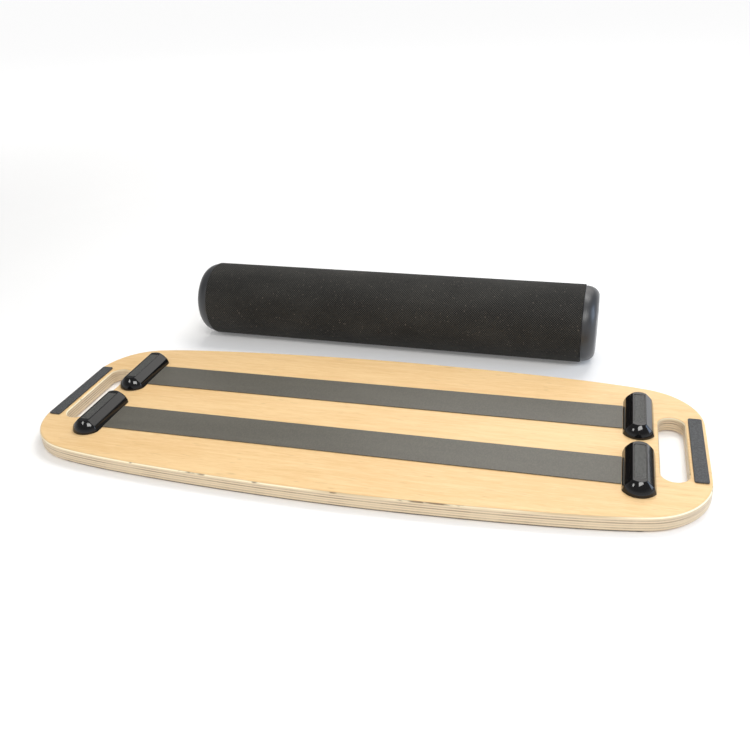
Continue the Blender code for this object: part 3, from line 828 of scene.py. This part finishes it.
@dataclass
class Deck:
    """The plywood deck, its grip sheet, its track strips and its end pads."""

    corner_radius: float = 0.077
    end_straight: float = 0.1066
    shoulder_turn: float = math.radians(16.9)
    side_pull: float = 0.30
    shoulder_pull: float = 0.149
    edge_radius: float = 0.003
    slot_length: float = 0.127
    slot_width: float = 0.0285
    slot_to_end: float = 0.0229
    sheet_inset: float = 0.003
    sheet_corner: float = 0.012
    sheet_edge: float = 0.0002
    strip_corner: float = 0.001
    strip_edge: float = 0.00025
    pad_corner: float = 0.0022
    pad_edge: float = 0.0006
    screw_hole: float = 0.0023
    screw_seat: float = 0.0043
    screw_overrun: float = 0.0010
    screw_steps: int = 24
    low: Vector = field(init=False)
    high: Vector = field(init=False)

    def __post_init__(self) -> None:
        """Read the deck's box from the frame."""
        self.low, self.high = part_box("deck_board")

    def side_curve(self) -> list[Vector]:
        """Control points of the long side, from the middle of the deck to its shoulder."""
        centre = Vector((self.high.x - self.corner_radius, self.end_straight / 2))
        out = Vector((math.sin(self.shoulder_turn), math.cos(self.shoulder_turn)))
        shoulder = centre + out * self.corner_radius
        back = Vector((-out.y, out.x))
        start = Vector((0.0, self.high.y))
        return [
            start,
            start + Vector((self.side_pull * shoulder.x, 0.0)),
            shoulder + back * self.shoulder_pull * shoulder.x,
            shoulder,
        ]

    def outline(self) -> Outline:
        """The deck's outline: barrel sides, round corners, straight ends."""
        start, start_pull, end_pull, shoulder = self.side_curve()
        forward = (shoulder - end_pull).normalized()
        handle = arc_handle(self.corner_radius, math.pi / 2 - self.shoulder_turn)
        end = Vector((self.high.x, self.end_straight / 2))
        quarter = [
            Knot(tuple(start), (-start_pull.x, start.y), tuple(start_pull)),
            Knot(tuple(shoulder), tuple(end_pull), tuple(shoulder + forward * handle)),
            Knot(tuple(end), (end.x, end.y + handle), (end.x, end.y / 3)),
        ]
        return self.closed(quarter)

    def closed(self, quarter: Sequence[Knot]) -> Outline:
        """Mirror a quarter whose first knot lies on the Y axis."""
        outline = list(quarter)
        outline += [knot.flipped(1, -1) for knot in reversed(quarter)]
        outline += [knot.flipped(-1, -1) for knot in quarter[1:]]
        outline += [knot.flipped(-1, 1) for knot in reversed(quarter[1:])]
        return outline

    def sheet_outline(self) -> Outline:
        """The grip sheet's outline: the deck's sides set in, squared off before the hand slots."""
        _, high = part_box("standing_grip_sheet")
        corner_x = high.x - self.sheet_corner
        low_share, high_share = 0.0, 1.0
        for _ in range(40):
            share = (low_share + high_share) / 2
            point, handles = self.split_side(share)
            low_share, high_share = (share, high_share) if point.x < corner_x else (low_share, share)
        set_in = Vector((0.0, self.sheet_inset))
        start = Vector((0.0, self.high.y)) - set_in
        first, second = (handle - set_in for handle in handles)
        point = point - set_in
        handle = arc_handle(self.sheet_corner, math.pi / 2)
        end = Vector((high.x, point.y - self.sheet_corner))
        quarter = [
            Knot(tuple(start), (-first.x, first.y), tuple(first)),
            Knot(tuple(point), tuple(second), (point.x + handle, point.y)),
            Knot(tuple(end), (end.x, end.y + handle), (end.x, end.y / 3)),
        ]
        return self.closed(quarter)

    def split_side(self, share: float) -> tuple[Vector, tuple[Vector, Vector]]:
        """Cut the long side's curve.

        Args:
            share: Where to cut, from 0 at the middle of the deck to 1 at the shoulder.

        Returns:
            The point there, and the two handles of the curve up to it.
        """
        points = self.side_curve()
        kept = []
        while len(points) > 1:
            kept.append(points[0].lerp(points[1], share))
            points = [first.lerp(second, share) for first, second in zip(points, points[1:])]
        return points[0], (kept[0], kept[1])

    def slot_outline(self, side: Side) -> Outline:
        """A hand slot's outline: a bar with full round ends, across the deck."""
        centre = self.high.x - self.slot_to_end - self.slot_width / 2
        bar = bar_outline(self.slot_width, self.slot_length, self.slot_width / 2 - 0.00001)
        return [knot.moved(side.value * centre, 0.0) for knot in bar]

    def build_board(self) -> None:
        """Make the plywood with its hand slots and the screw holes under the stoppers."""
        outlines = [self.outline(), *(self.slot_outline(side) for side in Side)]
        board = slab("plywood_deck", outlines, self.low.z, self.high.z, self.edge_radius, 24)
        combine(board, self.screw_holes(), "DIFFERENCE")
        smooth(board)
        finish = MaplePlywood("maple_plywood", "plywood", bottom=self.low.z, top=self.high.z)
        hand_over(board, finish, finish.material(), Body.BOARD, ["deck_board"])

    def screw_holes(self) -> bpy.types.Object:
        """Make one cutter that bores and countersinks every screw hole from below."""
        shape = bmesh.new()
        seat_depth = self.screw_seat - self.screw_hole
        for node in sorted(name for name in frame["nodes"] if name.startswith("stopper_screw")):
            low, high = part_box(node)
            profile = (
                (0.0, self.low.z - self.screw_overrun),
                (self.screw_seat, self.low.z - self.screw_overrun),
                (self.screw_seat, low.z),
                (self.screw_hole, low.z + seat_depth),
                (self.screw_hole, self.high.z + self.screw_overrun),
                (0.0, self.high.z + self.screw_overrun),
            )
            place = Matrix.Translation(((low.x + high.x) / 2, (low.y + high.y) / 2, 0.0))
            half_step = Matrix.Rotation(math.pi / self.screw_steps, 4, "Z")
            turn_profile(shape, profile, self.screw_steps, place @ half_step)
        bmesh.ops.recalc_face_normals(shape, faces=shape.faces)
        return built("screw_holes", shape)

    def build_sheet(self) -> None:
        """Make the anti-slip sheet that the rider stands on, underneath as the board lies."""
        low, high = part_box("standing_grip_sheet")
        sheet = slab("grip_sheet", [self.sheet_outline()], low.z, high.z, self.sheet_edge)
        smooth(sheet)
        finish = StandingGrit("standing_grit", "grip_sheet")
        hand_over(sheet, finish, finish.material(), Body.BOARD, ["standing_grip_sheet"])

    def build_strips(self) -> None:
        """Make the two track strips."""
        finish = SatinStrip("satin_strip", "track_rubber")
        material = finish.material()
        for row in Row:
            node = f"track_strip_{row.name.lower()}"
            name = f"track_{row.name.lower()}"
            self.lay_bar(name, node, self.strip_corner, self.strip_edge, finish, material)

    def build_pads(self) -> None:
        """Make the two end pads."""
        finish = PebbledPad("pebbled_pad", "pad_rubber")
        material = finish.material()
        for side in Side:
            node = f"end_pad_{side.name.lower()}"
            self.lay_bar(f"pad_{side.name.lower()}", node, self.pad_corner, self.pad_edge, finish, material)

    def lay_bar(
        self, name: str, node: str, corner: float, edge: float, finish: Finish, material: bpy.types.Material
    ) -> None:
        """Make a flat bar that fills a node's box.

        Args:
            name: Name of the piece.
            node: The node that it stands for.
            corner: Radius of its corners in plan.
            edge: Radius of its edges.
            finish: What it is finished in.
            material: The finish's material.
        """
        low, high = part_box(node)
        middle = (low + high) / 2
        size = high - low
        outline = [knot.moved(middle.x, middle.y) for knot in bar_outline(size.x, size.y, corner)]
        bar = slab(name, [outline], low.z, high.z, edge, 6)
        smooth(bar)
        hand_over(bar, finish, material, Body.BOARD, [node])

    def build(self) -> None:
        """Make every piece of the deck."""
        self.build_board()
        self.build_sheet()
        self.build_strips()
        self.build_pads()


@dataclass
class Stoppers:
    """The four moulded stoppers with their inlays and screws."""

    wall_lean: float = 0.0022
    hip_height: float = 0.0065
    hip_radius: float = 0.0040
    crown_width: float = 0.0144
    nose_flare: float = 0.0020
    nose_taper: float = 0.0084
    nose_power: float = 1.8
    crease_radius: float = 0.0007
    lip_radius: float = 0.00025
    shell_wall: float = 0.0022
    roof: float = 0.0020
    inlay_gap: float = 0.0003
    inlay_corner: float = 0.0025
    boss_radius: float = 0.0046
    pilot_radius: float = 0.0023
    pilot_depth: float = 0.0091
    pilot_overrun: float = 0.0010
    corner_angle: float = 1.0
    nose_steps: int = 28
    wall_steps: int = 3
    hip_steps: int = 6
    facet_steps: int = 7
    low: Vector = field(init=False)
    high: Vector = field(init=False)

    def __post_init__(self) -> None:
        """Read a stopper's size from the frame, about its own foot."""
        low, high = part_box("stopper_shell_right_front")
        middle = (low + high) / 2
        foot = Vector((middle.x, middle.y, low.z))
        self.low, self.high = low - foot, high - foot

    def levels(self, inset: float, crown: float, foot_height: float) -> list[Point2]:
        """Half width and height of the section, from its foot to its crown.

        Args:
            inset: How far the wall is set in from the outer one.
            crown: Height of the crown.
            foot_height: Height of the foot.

        Returns:
            The levels, with the hip rounded.
        """
        foot = Vector((self.high.x - inset, foot_height))
        hip = Vector((self.high.x - self.wall_lean - inset, self.hip_height))
        top = Vector((self.crown_width / 2 - inset / 2, crown))
        down, up = (foot - hip).normalized(), (top - hip).normalized()
        cut = self.hip_radius / math.tan(down.angle(up) / 2)
        start, finish = hip + down * cut, hip + up * cut
        path = [foot.lerp(start, step / self.wall_steps) for step in range(self.wall_steps)]
        for step in range(self.hip_steps + 1):
            share = step / self.hip_steps
            path.append(start.lerp(hip, share).lerp(hip.lerp(finish, share), share))
        path += [finish.lerp(top, step / self.facet_steps) for step in range(1, self.facet_steps + 1)]
        return [tuple(point) for point in path]

    def ring(self, inset: float, half_width: float, height: float) -> list[Vector]:
        """One level of the wall: two round noses, with the straight sides between them.

        Args:
            inset: How far the wall is set in from the outer one.
            half_width: Half the level's width.
            height: The level's height.

        Returns:
            The points of the ring: the nose at +Y, then the nose at -Y.
        """
        plan_radius = self.high.x + self.nose_flare
        centre = self.high.y - plan_radius
        share = max(0.0, height / self.high.z)
        radius = plan_radius - inset - self.nose_taper * share**self.nose_power
        start = math.acos(min(1.0, half_width / radius))
        nose = []
        for step in range(self.nose_steps + 1):
            angle = start + (math.pi - 2 * start) * step / self.nose_steps
            nose.append(Vector((radius * math.cos(angle), centre + radius * math.sin(angle), height)))
        return nose + [Vector((-point.x, -point.y, point.z)) for point in nose]

    def solid(
        self, name: str, inset: float, crown: float, foot_height: float, crease: float
    ) -> bpy.types.Object:
        """Skin the wall from level to level and close it into a solid.

        Args:
            name: Name of the solid.
            inset: How far the wall is set in from the outer one.
            crown: Height of the crown.
            foot_height: Height of the foot.
            crease: Radius of the creases and the crown's rim; none leaves them sharp.

        Returns:
            The solid, about the stopper's foot.
        """
        shape = bmesh.new()
        rings = []
        loops = []
        for half_width, height in self.levels(inset, crown, foot_height):
            ring = [shape.verts.new(point) for point in self.ring(inset, half_width, height)]
            loops.append([shape.edges.new(pair) for pair in zip(ring, ring[1:] + ring[:1])])
            rings.append(ring)
        for lower, upper in zip(loops, loops[1:]):
            bmesh.ops.bridge_loops(shape, edges=lower + upper)
        bmesh.ops.edgeloop_fill(shape, edges=loops[0])
        bmesh.ops.edgeloop_fill(shape, edges=loops[-1])
        bmesh.ops.recalc_face_normals(shape, faces=shape.faces)
        if crease:
            corners = (0, self.nose_steps, self.nose_steps + 1, 2 * self.nose_steps + 1)
            creases = [
                edge
                for low, high in zip(rings, rings[1:])
                for index in corners
                if (edge := shape.edges.get((low[index], high[index])))
            ]
            bmesh.ops.bevel(
                shape,
                geom=creases + loops[-1],
                offset=crease,
                offset_type="OFFSET",
                segments=3,
                profile=0.5,
                affect="EDGES",
                clamp_overlap=True,
                material=-1,
            )
            bmesh.ops.remove_doubles(shape, verts=shape.verts, dist=0.000005)
            bmesh.ops.dissolve_degenerate(shape, dist=0.000005, edges=shape.edges)
        return built(name, shape)

    def shell(self, inlay_low: Vector, inlay_high: Vector) -> bpy.types.Object:
        """Make one stopper shell about its own foot.

        Args:
            inlay_low: Lowest corner of the inlay, about the same foot.
            inlay_high: Highest corner of the inlay.

        Returns:
            The shell, hollow below and recessed for its inlay.
        """
        inlay = inlay_high - inlay_low
        floor = inlay_low.z - self.inlay_gap
        shell = self.solid("stopper", 0.0, self.high.z, 0.0, self.crease_radius)
        cavity = self.solid("cavity", self.shell_wall, floor - self.roof, -self.roof, 0.0)
        combine(shell, cavity, "DIFFERENCE")
        size_x, size_y = inlay.x + 2 * self.inlay_gap, inlay.y + 2 * self.inlay_gap
        mouth = bar_outline(size_x, size_y, self.inlay_corner)
        combine(shell, slab("recess", [mouth], floor, self.high.z + self.roof, 0.0, 8), "DIFFERENCE")
        self.soften_lip(shell, size_x / 2, size_y / 2)
        return shell

    def soften_lip(self, shell: bpy.types.Object, half_x: float, half_y: float) -> None:
        """Round the lip of the inlay's recess.

        Args:
            shell: The shell.
            half_x: Half the recess's size along X.
            half_y: Half its size along Y.
        """
        shape = bmesh.new()
        shape.from_mesh(shell.data)
        near = self.crease_radius / 10
        lip = [
            edge
            for edge in shape.edges
            if all(
                abs(vertex.co.z - self.high.z) < near
                and abs(vertex.co.x) < half_x + near
                and abs(vertex.co.y) < half_y + near
                for vertex in edge.verts
            )
            and edge.calc_face_angle(0.0) > self.corner_angle
        ]
        bmesh.ops.bevel(
            shape,
            geom=lip,
            offset=self.lip_radius,
            offset_type="OFFSET",
            segments=2,
            profile=0.5,
            affect="EDGES",
            clamp_overlap=True,
            material=-1,
        )
        bmesh.ops.recalc_face_normals(shape, faces=shape.faces)
        shape.to_mesh(shell.data)
        shape.free()

    def add_bosses(self, shell: bpy.types.Object, places: Sequence[float], roof: float) -> None:
        """Join the screw bosses to the shell and bore their pilot holes.

        Args:
            shell: The shell.
            places: The screws' distances along Y from the stopper's middle.
            roof: Height of the shell's inner roof.
        """
        for y in places:
            foot = Vector((0.0, y, 0.0))
            combine(shell, post("boss", self.boss_radius, foot, roof + self.roof / 4), "UNION")
        for y in places:
            foot = Vector((0.0, y, -self.pilot_overrun))
            combine(shell, post("pilot", self.pilot_radius, foot, self.pilot_depth), "DIFFERENCE")

    def build(self) -> None:
        """Make the four shells and their inlays, and finish the screws."""
        gloss = GlossMoulding("gloss_moulding", "stopper_gloss")
        stipple = StippledInlay("stippled_inlay", "stopper_inlay")
        gloss_material, stipple_material = gloss.material(), stipple.material()
        low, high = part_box("stopper_shell_right_front")
        foot = Vector(((low.x + high.x) / 2, (low.y + high.y) / 2, low.z))
        inlay_low, inlay_high = (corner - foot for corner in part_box("stopper_inlay_right_front"))
        pattern = self.shell(inlay_low, inlay_high)
        screws = [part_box(f"stopper_screw_right_front_{number}") for number in (1, 2)]
        places = [(first.y + last.y) / 2 - foot.y for first, last in screws]
        self.add_bosses(pattern, places, inlay_low.z - self.inlay_gap - self.roof)
        for side in Side:
            for row in Row:
                key = f"{side.name.lower()}_{row.name.lower()}"
                low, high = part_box(f"stopper_shell_{key}")
                mesh = pattern.data.copy()
                mesh.transform(Matrix.Translation(((low.x + high.x) / 2, (low.y + high.y) / 2, low.z)))
                shell = mesh_piece(f"stopper_{key}", mesh)
                smooth(shell, 30.0)
                hand_over(shell, gloss, gloss_material, Body.BOARD, [f"stopper_shell_{key}"])
                self.lay_inlay(key, stipple, stipple_material)
        bpy.data.objects.remove(pattern, do_unlink=True)
        finish = ZincScrew("zinc_screw", "screw_steel")
        material = finish.material()
        for name, node in frame["nodes"].items():
            if name.startswith("stopper_screw"):
                node.data.materials.clear()
                node.data.materials.append(material)

    def lay_inlay(self, key: str, finish: Finish, material: bpy.types.Material) -> None:
        """Make one inlay.

        Args:
            key: Which stopper it belongs to.
            finish: What it is finished in.
            material: The finish's material.
        """
        low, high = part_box(f"stopper_inlay_{key}")
        middle, size = (low + high) / 2, high - low
        outline = [knot.moved(middle.x, middle.y) for knot in bar_outline(size.x, size.y, self.inlay_corner)]
        inlay = slab(f"inlay_{key}", [outline], low.z, high.z, self.lip_radius, 8)
        smooth(inlay)
        hand_over(inlay, finish, material, Body.BOARD, [f"stopper_inlay_{key}"])


# ---------------------------------------------------------------------------------------------------
# The roller
# ---------------------------------------------------------------------------------------------------


@dataclass
class Roller:
    """The loose roller: a grip sleeve on a tube, with an end cap pushed into each end."""

    sleeve_wall: float = 0.0023
    sleeve_edge: float = 0.0005
    tube_wall: float = 0.0035
    fit_gap: float = 0.0003
    cap_depth: float = 0.0180
    cap_shoulder: float = 0.0130
    cap_shoulder_depth: float = 0.0172
    rim_chamfer: float = 0.0004
    spigot_chamfer: float = 0.001
    shoulder_steps: int = 16
    cap_wall: float = 0.0030
    spigot_length: float = 0.025
    steps: int = 160
    radius: float = field(init=False)
    half_length: float = field(init=False)
    cap_radius: float = field(init=False)
    place: Matrix = field(init=False)

    def __post_init__(self) -> None:
        """Read the roller's axis and radii from the frame."""
        joint = frame["joints"][0]
        axis = Vector(joint["axis"]).normalized()
        low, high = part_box("roller_sleeve")
        self.radius = (high.z - low.z) / 2
        centre = (low + high) / 2
        turn = axis.to_track_quat("Z", "Y").to_matrix().to_4x4()
        self.place = Matrix.Translation(centre) @ turn
        slant = abs(axis.y) / abs(axis.x)
        self.half_length = ((high.x - low.x) / 2 - self.radius * slant) / abs(axis.x)
        low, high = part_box("roller_cap_left")
        self.cap_radius = (high.z - low.z) / 2

    def turned(self, name: str, profile: Sequence[Point2]) -> bpy.types.Object:
        """Turn a closed profile about the roller's axis, and lay the surface out in metres.

        Args:
            name: Name of the piece.
            profile: Radius and height of each point.

        Returns:
            The piece, in place.
        """
        shape = bmesh.new()
        turn_profile(shape, profile, self.steps)
        bmesh.ops.recalc_face_normals(shape, faces=shape.faces)
        self.unroll(shape)
        piece = built(name, shape)
        piece.data.transform(self.place)
        return piece

    def unroll(self, shape: bmesh.types.BMesh) -> None:
        """Give each corner of a turned shape its distance round and along the roller, in metres."""
        layer = shape.loops.layers.uv.new("unrolled")
        for face in shape.faces:
            middle = face.calc_center_median()
            base = math.atan2(middle.y, middle.x)
            for loop in face.loops:
                point = loop.vert.co
                angle = math.atan2(point.y, point.x)
                angle += round((base - angle) / (2 * math.pi)) * 2 * math.pi
                loop[layer].uv = (angle * self.radius, point.z)

    def build_sleeve(self) -> None:
        """Make the grip sleeve."""
        outer, inner = self.radius, self.radius - self.sleeve_wall
        half, edge = self.half_length, self.sleeve_edge
        rounding = [
            (outer - edge + edge * math.cos(angle), half - edge + edge * math.sin(angle))
            for angle in (step * math.pi / 8 for step in range(4, -1, -1))
        ]
        other_end = [(radius, -height) for radius, height in reversed(rounding)]
        profile = [*rounding, *other_end, (inner, -half), (inner, half)]
        sleeve = self.turned("grip_sleeve", profile)
        smooth(sleeve, 40.0)
        finish = SleeveGrip("sleeve_grip", "roller_sleeve")
        hand_over(sleeve, finish, finish.material(), Body.ROLLER, ["roller_sleeve"])

    def cap_profile(self) -> list[Point2]:
        """Profile of an end cap: face, shoulder, rim, spigot and the hollow behind the face."""
        seat = self.half_length + self.fit_gap
        face = seat + self.cap_depth
        spigot = self.radius - self.sleeve_wall - self.tube_wall - 2 * self.fit_gap
        inner = spigot - self.cap_wall
        shoulder_x, shoulder_z = self.cap_radius - self.cap_shoulder, face - self.cap_shoulder_depth
        profile = [(0.0, face), (shoulder_x * 0.6, face)]
        for step in range(self.shoulder_steps + 1):
            angle = math.pi / 2 * (1 - step / self.shoulder_steps)
            radius = shoulder_x + self.cap_shoulder * math.cos(angle)
            profile.append((radius, shoulder_z + self.cap_shoulder_depth * math.sin(angle)))
        profile += [
            (self.cap_radius, seat + self.rim_chamfer),
            (self.cap_radius - self.rim_chamfer, seat),
            (spigot, seat),
            (spigot, seat - self.spigot_length + self.spigot_chamfer),
            (spigot - self.spigot_chamfer, seat - self.spigot_length),
            (inner, seat - self.spigot_length),
            (inner, seat),
            (shoulder_x, face - self.cap_wall),
            (0.0, face - self.cap_wall),
        ]
        return profile

    def build_caps(self) -> None:
        """Make the two end caps."""
        finish = SatinCap("satin_cap", "roller_cap")
        material = finish.material()
        for side in Side:
            key = side.name.lower()
            profile = [(radius, side.value * height) for radius, height in self.cap_profile()]
            cap = self.turned(f"end_cap_{key}", profile)
            smooth(cap, 35.0)
            hand_over(cap, finish, material, Body.ROLLER, [f"roller_cap_{key}"])

    def build(self) -> None:
        """Make the roller's pieces and finish its tube."""
        self.build_sleeve()
        self.build_caps()
        tube = frame["nodes"]["roller_tube"]
        tube.data.materials.clear()
        tube.data.materials.append(ExtrudedTube("extruded_tube", "roller_tube").material())


# ---------------------------------------------------------------------------------------------------
# The studio
# ---------------------------------------------------------------------------------------------------


@dataclass(frozen=True)
class Softbox:
    """A soft rectangular lamp that faces the board."""

    name: str
    place: Point3
    size: Point2
    radiance: float
    colour: Colour = (1.0, 1.0, 1.0)

    def build(self, target: Vector) -> None:
        """Hang the lamp.

        Args:
            target: The point that it faces.
        """
        lamp = bpy.data.lights.new(self.name, "AREA")
        lamp.shape = "RECTANGLE"
        lamp.size, lamp.size_y = self.size
        lamp.energy = self.radiance * math.pi * self.size[0] * self.size[1]
        lamp.color = self.colour
        holder = bpy.data.objects.new(self.name, lamp)
        bpy.context.scene.collection.objects.link(holder)
        holder.visible_camera = False
        holder.location = self.place
        holder.rotation_mode = "QUATERNION"
        holder.rotation_quaternion = (target - holder.location).to_track_quat("-Z", "Y")


@dataclass
class Studio:
    """Camera, floor and light."""

    camera_place: Vector = field(default_factory=lambda: Vector((0.2668, -0.8036, 0.5267)))
    azimuth: float = math.radians(16.95)
    elevation: float = math.radians(28.07)
    roll: float = math.radians(3.38)
    lens: float = 39.5
    sensor: float = 36.0
    floor_size: float = 60.0
    floor_colour: Colour = (0.80, 0.80, 0.80)
    floor_gap: float = 0.0002
    floor_glow_near: float = 0.16
    floor_glow_far: float = 0.85
    glow_reach: Point2 = (0.7, 3.2)
    sky_top: float = 0.30
    sky_low: float = 0.90
    sky_change: Point2 = (0.08, 0.45)

    def build_camera(self) -> None:
        """Set up the camera."""
        lens = bpy.data.cameras.new("camera")
        lens.lens = self.lens
        lens.sensor_width = self.sensor
        lens.clip_start = 0.01
        lens.clip_end = 100.0
        camera = bpy.data.objects.new("camera", lens)
        bpy.context.scene.collection.objects.link(camera)
        across, up = self.azimuth, self.elevation
        back = Vector((math.sin(across) * math.cos(up), -math.cos(across) * math.cos(up), math.sin(up)))
        level_right = Vector((math.cos(across), math.sin(across), 0.0))
        level_up = back.cross(level_right)
        right = level_right * math.cos(self.roll) - level_up * math.sin(self.roll)
        rise = level_right * math.sin(self.roll) + level_up * math.cos(self.roll)
        turn = Matrix((right, rise, back)).transposed().to_4x4()
        camera.matrix_world = Matrix.Translation(self.camera_place) @ turn
        bpy.context.scene.camera = camera

    def build_floor(self) -> None:
        """Lay a plain pale floor."""
        shape = bmesh.new()
        drop = Matrix.Translation((0.0, 0.0, -self.floor_gap))
        bmesh.ops.create_grid(shape, x_segments=1, y_segments=1, size=self.floor_size / 2, matrix=drop)
        floor = built("floor", shape)
        material = bpy.data.materials.new("pale_floor")
        material.use_nodes = True
        graph = Graph(material)
        graph.surface(Base_Color=self.floor_colour, Roughness=0.9, Specular_IOR_Level=0.1)
        distance = graph.add("VectorMath", operation="LENGTH")
        graph.feed(distance.inputs[0], graph.place())
        near, far = self.glow_reach
        glow = graph.span(distance.outputs["Value"], near, far, self.floor_glow_near, self.floor_glow_far)
        graph.surface(Emission_Color=self.floor_colour, Emission_Strength=glow)
        floor.data.materials.append(material)

    def build_sky(self) -> None:
        """Light everything softly from all round, brighter near the horizon than overhead."""
        world = bpy.data.worlds.new("studio")
        bpy.context.scene.world = world
        world.use_nodes = True
        tree = world.node_tree
        background = tree.nodes["Background"]
        background.inputs["Color"].default_value = (1.0, 1.0, 1.0, 1.0)
        direction = tree.nodes.new("ShaderNodeTexCoord")
        split = tree.nodes.new("ShaderNodeSeparateXYZ")
        strength = tree.nodes.new("ShaderNodeMapRange")
        tree.links.new(direction.outputs["Generated"], split.inputs[0])
        tree.links.new(split.outputs["Z"], strength.inputs["Value"])
        strength.inputs["From Min"].default_value = self.sky_change[0]
        strength.inputs["From Max"].default_value = self.sky_change[1]
        strength.inputs["To Min"].default_value = self.sky_low
        strength.inputs["To Max"].default_value = self.sky_top
        tree.links.new(strength.outputs["Result"], background.inputs["Strength"])

    def build_lamps(self, target: Vector) -> None:
        """Hang the softboxes round the board.

        Args:
            target: The point that they face.
        """
        lamps = (
            Softbox("front_right", (0.55, -1.05, 1.42), (0.90, 0.44), 12.4, (1.0, 0.99, 0.97)),
            Softbox("front_left", (-0.80, -0.95, 1.15), (0.34, 0.28), 11.5, (1.0, 0.99, 0.97)),
            Softbox("overhead", (0.20, 0.90, 1.90), (1.6, 0.8), 6.0, (1.0, 0.985, 0.96)),
            Softbox("behind", (0.35, 2.30, 1.55), (2.0, 1.2), 1.8, (1.0, 0.97, 0.93)),
            Softbox("cool_side", (1.60, 0.10, 0.70), (0.7, 0.8), 5.0, (0.60, 0.76, 1.0)),
        )
        for lamp in lamps:
            lamp.build(target)

    def build(self) -> None:
        """Set up the whole studio round the board."""
        low, high = CAD_BOX
        middle = (low + high) / 2
        self.build_camera()
        self.build_floor()
        self.build_sky()
        self.build_lamps(Vector((middle.x, middle.y, 0.0)))
        bpy.context.scene.view_settings.view_transform = "Standard"


def main() -> None:
    """Build the studio and the board's sub-assemblies in order."""
    logging.basicConfig(level=logging.INFO, format="%(name)s: %(message)s")
    Studio().build()
    for assembly in (Deck(), Stoppers(), Roller()):
        log.info("building %s", type(assembly).__name__)
        assembly.build()


if __name__ == "__main__":
    main()
